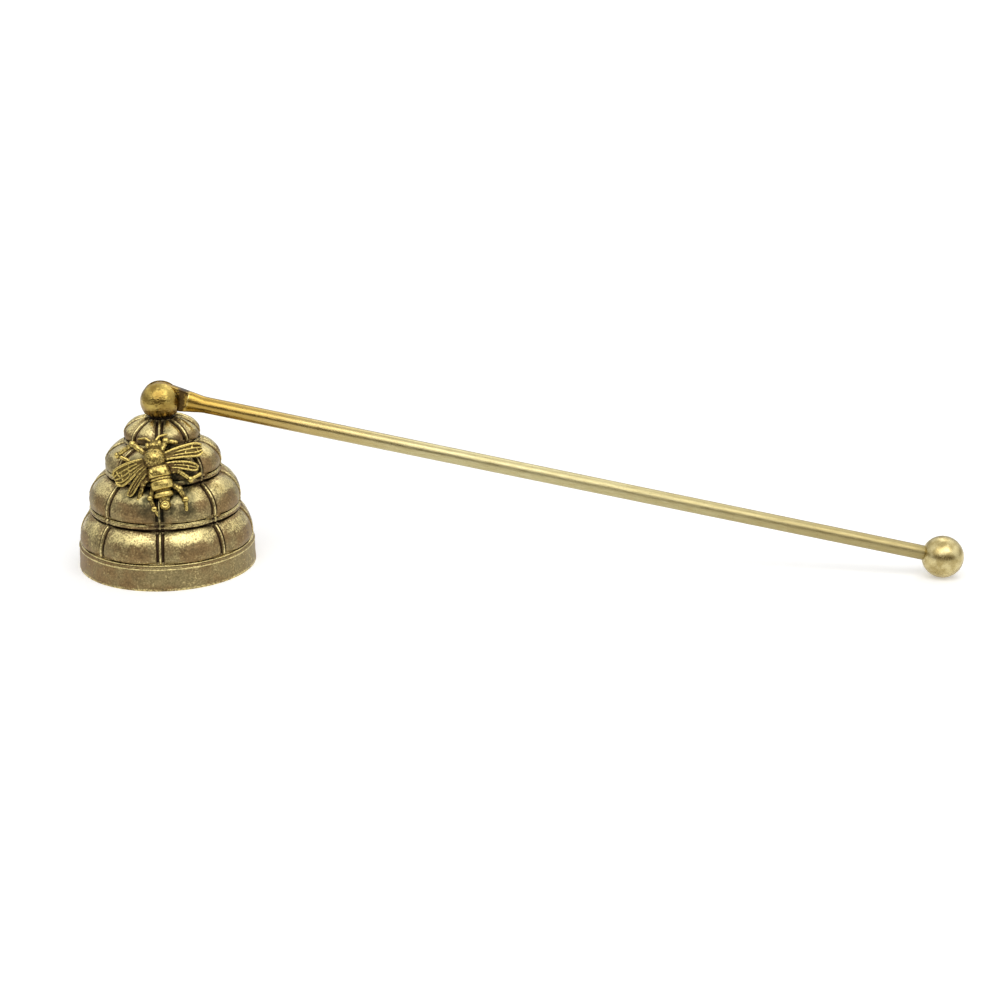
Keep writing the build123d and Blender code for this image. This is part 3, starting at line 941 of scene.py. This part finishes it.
rod_rows = []
for share, back in ((0.35, 0), (0.8, 0), (0.93, 0.0), (0.97, 0.03), (0.99, 0.08), (1.0, 0.18)):
    rod_rows.append(rod_ring(shoulder_reach + back, rod_near_radius * share, flare_radius * share))
for share in np.linspace(0.08, 1, 14):
    height = flare_radius + (rod_near_radius - flare_radius) * float(ease(0, 1, share))
    rod_rows.append(rod_ring(shoulder_reach + flare_length * share, rod_near_radius, height))
rod_start = shoulder_reach + flare_length
for share in np.linspace(0, 1, 60)[1:]:
    radius = rod_near_radius + (rod_far_radius - rod_near_radius) * share
    rod_rows.append(rod_ring(rod_start + (rod_end - rod_start) * share, radius, radius))
rod_rows.append(rod_ring(rod_end, spigot_radius, spigot_radius))
rod_rows.append(rod_ring(rod_end + spigot_length - 0.2, spigot_radius, spigot_radius))
rod_rows.append(rod_ring(rod_end + spigot_length, spigot_radius - 0.2, spigot_radius - 0.2))
tongue_form = bmesh.new()
for side_y in (-tongue_thickness / 2, tongue_thickness / 2):
    for a in np.linspace(0, 2 * math.pi, 97)[:-1]:
        tongue_form.verts.new(Vector((eye_radius * math.cos(a), side_y, eye_radius * math.sin(a))) * mm)
    for z in (-tongue_half_height, tongue_half_height):
        tongue_form.verts.new(Vector((shoulder_reach + flare_length / 2, side_y, z)) * mm)
bmesh.ops.convex_hull(tongue_form, input=tongue_form.verts)
bmesh.ops.dissolve_limit(tongue_form, angle_limit=0.01, verts=tongue_form.verts, edges=tongue_form.edges)
tongue = bpy.data.meshes.new("tongue")
tongue_form.to_mesh(tongue)
tongue_form.free()
rod_mesh = cut(
    "handle rod",
    skin("handle rod", rod_rows),
    ((tongue, "UNION"), (bar_across("eye", pin_radius + 0.05, 4, 0), "DIFFERENCE")),
    rod_edge,
)


def satin_brass(name, pale, warm, orange, orange_reach, handled, handled_reach, sheen, dull_reach):
    """Drawn brass, rubbed lengthwise: orange and glossy near the ball, browner where it is held, with painted
    shadow on the tongue by the ball and a painted highlight on the shoulder edge.
    """
    material, tree, surface = new_metal(name)
    place = put(tree, "TexCoord", {}, "Object")
    along = put(tree, "SeparateXYZ", {"Vector": place}, 0)
    tongue_shade, shoulder_highlight, scuff = tint(54, 38, 26), tint(206, 182, 112), tint(122, 98, 54)
    streaks = grain(tree, 0.4, 4.0, (0.1, 1, 1))
    hairs = grain(tree, 0.14, 3.0, (0.05, 1, 1))
    clouds = grain(tree, 7.0, 3.0, (0.5, 1, 1))
    colour = blend(tree, span(tree, hairs, 0.3, 0.7), warm, pale)
    colour = blend(tree, span(tree, clouds, 0.4, 0.7, 0.0, 0.4), colour, warm)
    colour = blend(tree, span(tree, along, orange_reach * mm, 0.0, 0.0, 1.0), colour, orange)
    colour = blend(tree, span(tree, along, handled_reach * mm, rod_end * mm, 0.0, 0.6), colour, handled)
    # The tongue between the ball's cheeks is painted near black: a painted shadow.
    tongue_shadow = figure(tree, "ADD", along, span(tree, grain(tree, 0.6), 0.3, 0.7, -0.5 * mm, 0.5 * mm))
    near_ball = span(tree, tongue_shadow, (ball_radius - 1.2) * mm, (ball_radius - 0.4) * mm)
    tongue_shadow = span(tree, tongue_shadow, shoulder_reach * mm, (shoulder_reach - 0.7) * mm)
    tongue_shadow = figure(tree, "MULTIPLY", tongue_shadow, near_ball)
    colour = blend(tree, figure(tree, "MULTIPLY", tongue_shadow, 0.88), colour, tongue_shade)
    # A thin band at the shoulder edge is painted bright: a painted highlight.
    highlight_start = span(tree, along, (shoulder_reach - 0.1) * mm, (shoulder_reach + 0.1) * mm)
    highlight_stop = span(tree, along, (shoulder_reach + 0.45) * mm, (shoulder_reach + 0.15) * mm)
    colour = blend(tree, figure(tree, "MULTIPLY", highlight_start, highlight_stop), colour, shoulder_highlight)
    colour = blend(tree, span(tree, grain(tree, 0.45, 4.0), 0.56, 0.74, 0.0, 0.35), colour, scuff)
    tree.links.new(colour, surface.inputs["Base Color"])
    dull = span(tree, along, 0.0, dull_reach * mm, sheen, sheen + 0.2)
    dull = figure(tree, "ADD", dull, span(tree, streaks, 0.3, 0.7, -0.03, 0.08))
    tree.links.new(dull, surface.inputs["Roughness"])
    height = figure(tree, "ADD", hairs, streaks)
    relief = {"Strength": 0.5, "Distance": 0.035 * mm, "Height": height}
    tree.links.new(put(tree, "Bump", relief), surface.inputs["Normal"])
    return material


rod_brass = satin_brass(
    "satin brass",
    pale=tint(198, 189, 146),
    warm=tint(176, 163, 116),
    orange=tint(174, 142, 65),
    orange_reach=72,
    handled=tint(154, 136, 86),
    handled_reach=85,
    sheen=0.2,
    dull_reach=130,
)
rod = stand("handle-rod", rod_mesh, rod_brass, handle_place)
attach(rod, "handle")
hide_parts("handle_rod")

# End ball: a turned brass ball, faced and bored for the spigot of the rod, satin rubbed.
# It is the resting point of the handle and the weight in the hand.
bore_radius = spigot_radius + 0.02
face_reach = handle_length - rod_end
face_radius = math.sqrt(end_ball_radius**2 - face_reach**2)
sweep = np.linspace(math.acos(-face_reach / end_ball_radius), 0.006, 90)
end_section = [(bore_radius, spigot_length - face_reach), (bore_radius, -face_reach)]
end_section += [(face_radius - 0.1, -face_reach), (face_radius - 0.03, -face_reach + 0.02)]
end_section += [(end_ball_radius * math.sin(a), end_ball_radius * math.cos(a)) for a in sweep[2:]]
end_mesh = skin("end ball", turned(end_section))
end_mesh.set_sharp_from_angle(angle=math.radians(50))


def satin_ball(name, pale, warm, dark, sheen):
    """Turned brass ball, satin rubbed, with faint rings and scuffs."""
    material, tree, surface = new_metal(name)
    clouds = grain(tree, 2.4, 4.0)
    rings = grain(tree, 0.25, 2.0, (0.1, 0.1, 1.0))
    scuffs = grain(tree, 0.5, 4.0)
    colour = blend(tree, span(tree, clouds, 0.36, 0.64), warm, pale)
    colour = blend(tree, span(tree, scuffs, 0.58, 0.74, 0.0, 0.35), colour, dark)
    tree.links.new(colour, surface.inputs["Base Color"])
    tree.links.new(span(tree, scuffs, 0.3, 0.7, sheen, sheen + 0.14), surface.inputs["Roughness"])
    height = figure(tree, "ADD", rings, figure(tree, "MULTIPLY", scuffs, 0.6))
    relief = {"Strength": 0.3, "Distance": 0.016 * mm, "Height": height}
    tree.links.new(put(tree, "Bump", relief), surface.inputs["Normal"])
    return material


end_brass = satin_ball("satin ball", tint(210, 195, 143), tint(171, 153, 101), tint(126, 107, 66), 0.23)
end_turn = Matrix.Rotation(math.pi / 2, 4, "Y")
end_place = handle_place @ Matrix.Translation((handle_length * mm, 0, 0)) @ end_turn
end_ball = stand("end-ball", end_mesh, end_brass, end_place)
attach(end_ball, "handle")
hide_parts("end_ball")

# Floor: a sheet of white paper that the bell and the end ball stand on, with the soft shadow on it.
# It is so wide that it fills the picture.
floor_reach = 6.0
floor_mesh = bpy.data.meshes.new("floor")
corners = [(x * floor_reach, y * floor_reach, 0) for x, y in ((-1, -1), (1, -1), (1, 1), (-1, 1))]
floor_mesh.from_pydata(corners, [], [(0, 1, 2, 3)])
sheet = bpy.data.materials.new("white sheet")
sheet.use_nodes = True
tree = sheet.node_tree
surface = tree.nodes["Principled BSDF"]
fibres = grain(tree, 0.8, 4.0)
paper = blend(tree, span(tree, fibres, 0.3, 0.7), tint(240, 240, 240), tint(246, 246, 246))
tree.links.new(paper, surface.inputs["Base Color"])
surface.inputs["Roughness"].default_value = 0.9
surface.inputs["Specular IOR Level"].default_value = 0.0
path = tree.nodes.new("ShaderNodeLightPath")
direct = figure(tree, "MAXIMUM", path.outputs["Is Camera Ray"], path.outputs["Is Transmission Ray"])
surface.inputs["Emission Color"].default_value = (1, 1, 1, 1)
far = put(tree, "VectorMath", {0: put(tree, "TexCoord", {}, "Object")}, "Value", operation="LENGTH")
lift = figure(tree, "MULTIPLY", direct, span(tree, far, 0.15, 0.9, 0.36, 0.75))
gleam = figure(tree, "MULTIPLY", path.outputs["Is Glossy Ray"], span(tree, far, 0.15, 0.6, 0.36, 0.0))
tree.links.new(figure(tree, "ADD", lift, gleam), surface.inputs["Emission Strength"])
floor = stand("floor", floor_mesh, sheet)
floor.location.z = -0.02 * mm

# Light: two soft boxes above the front, a weaker one behind, and white surroundings, brighter on the right.
# A dark card stands behind the camera, as in a studio, so that the metal shows some depth.
scene = bpy.context.scene
middle = Vector((0.07, 0, 0.02))
card_left, card_right = -2.4, 2.6
card_foot, card_top = 0.02, 0.66
card_distance = 1.2
# Each box by name, degrees round from the front, degrees up, distance, width, depth and watts.
soft_boxes = (
    ("front left box", -25, 52, 0.75, 0.55, 0.5, 1.35),
    ("front right box", 40, 54, 0.75, 0.5, 0.5, 1.4),
    ("back box", 160, 50, 0.9, 0.5, 0.4, 0.8),
)
for name, around_deg, above_deg, distance, wide, deep, power in soft_boxes:
    turn_to, rise_to = math.radians(around_deg - 90), math.radians(above_deg)
    level = math.cos(rise_to)
    back = Vector((math.cos(turn_to) * level, math.sin(turn_to) * level, math.sin(rise_to)))
    box = bpy.data.lights.new(name, "AREA")
    box.shape = "RECTANGLE"
    box.size, box.size_y, box.energy = wide, deep, power
    lamp = bpy.data.objects.new(name, box)
    scene.collection.objects.link(lamp)
    lamp.location = middle + back * distance
    lamp.rotation_euler = back.to_track_quat("Z", "Y").to_euler()
card_mesh = bpy.data.meshes.new("dark card")
corners = [(card_left, card_foot), (card_right, card_foot), (card_right, card_top), (card_left, card_top)]
card_mesh.from_pydata([(x, -card_distance, z) for x, z in corners], [], [(0, 1, 2, 3)])
felt = bpy.data.materials.new("dark felt")
felt.use_nodes = True
tree = felt.node_tree
surface = tree.nodes["Principled BSDF"]
fibre = blend(tree, grain(tree, 6.0, 4.0), tint(146, 134, 112), tint(166, 153, 130))
tree.links.new(fibre, surface.inputs["Base Color"])
surface.inputs["Roughness"].default_value = 0.95
card = stand("dark-card", card_mesh, felt)
card.visible_camera = False
world = bpy.data.worlds.new("white surroundings")
scene.world = world
world.use_nodes = True
tree = world.node_tree
path = tree.nodes.new("ShaderNodeLightPath")
direct = figure(tree, "MAXIMUM", path.outputs["Is Camera Ray"], path.outputs["Is Transmission Ray"])
toward = put(tree, "TexCoord", {}, "Generated")
above = span(tree, put(tree, "SeparateXYZ", {"Vector": toward}, 2), 0.05, 0.6, 0.0, 0.55)
window = span(tree, put(tree, "SeparateXYZ", {"Vector": toward}, 0), 0.2, 0.9, 0.0, 0.22)
gleam = figure(tree, "MULTIPLY", path.outputs["Is Glossy Ray"], figure(tree, "ADD", above, window))
ground = tree.nodes["Background"]
ground.inputs["Color"].default_value = (1, 1, 1, 1)
light = figure(tree, "ADD", span(tree, direct, 0.0, 1.0, 0.5, 1.0), gleam)
tree.links.new(light, ground.inputs["Strength"])

# Camera: stands in front and a little above, as the photograph was taken.
# Its place and lens are fitted to both balls, the rod and the rolls of the hive.
target = Vector((79.949, 0, 16.909)) * mm
camera_turn = math.radians(3.402)
camera_pitch = math.radians(19.048)
camera_distance = 531.752 * mm
lens = bpy.data.cameras.new("camera")
lens.sensor_width = 36.0
lens.lens = 80.98
lens.clip_start = 0.01
camera = bpy.data.objects.new("camera", lens)
scene.collection.objects.link(camera)
level_back = Vector((math.sin(camera_turn), -math.cos(camera_turn), 0)) * math.cos(camera_pitch)
camera.location = target + (level_back + Vector((0, 0, math.sin(camera_pitch)))) * camera_distance
camera.rotation_euler = (math.pi / 2 - camera_pitch, 0, camera_turn)
scene.camera = camera
scene.view_settings.view_transform = "Standard"
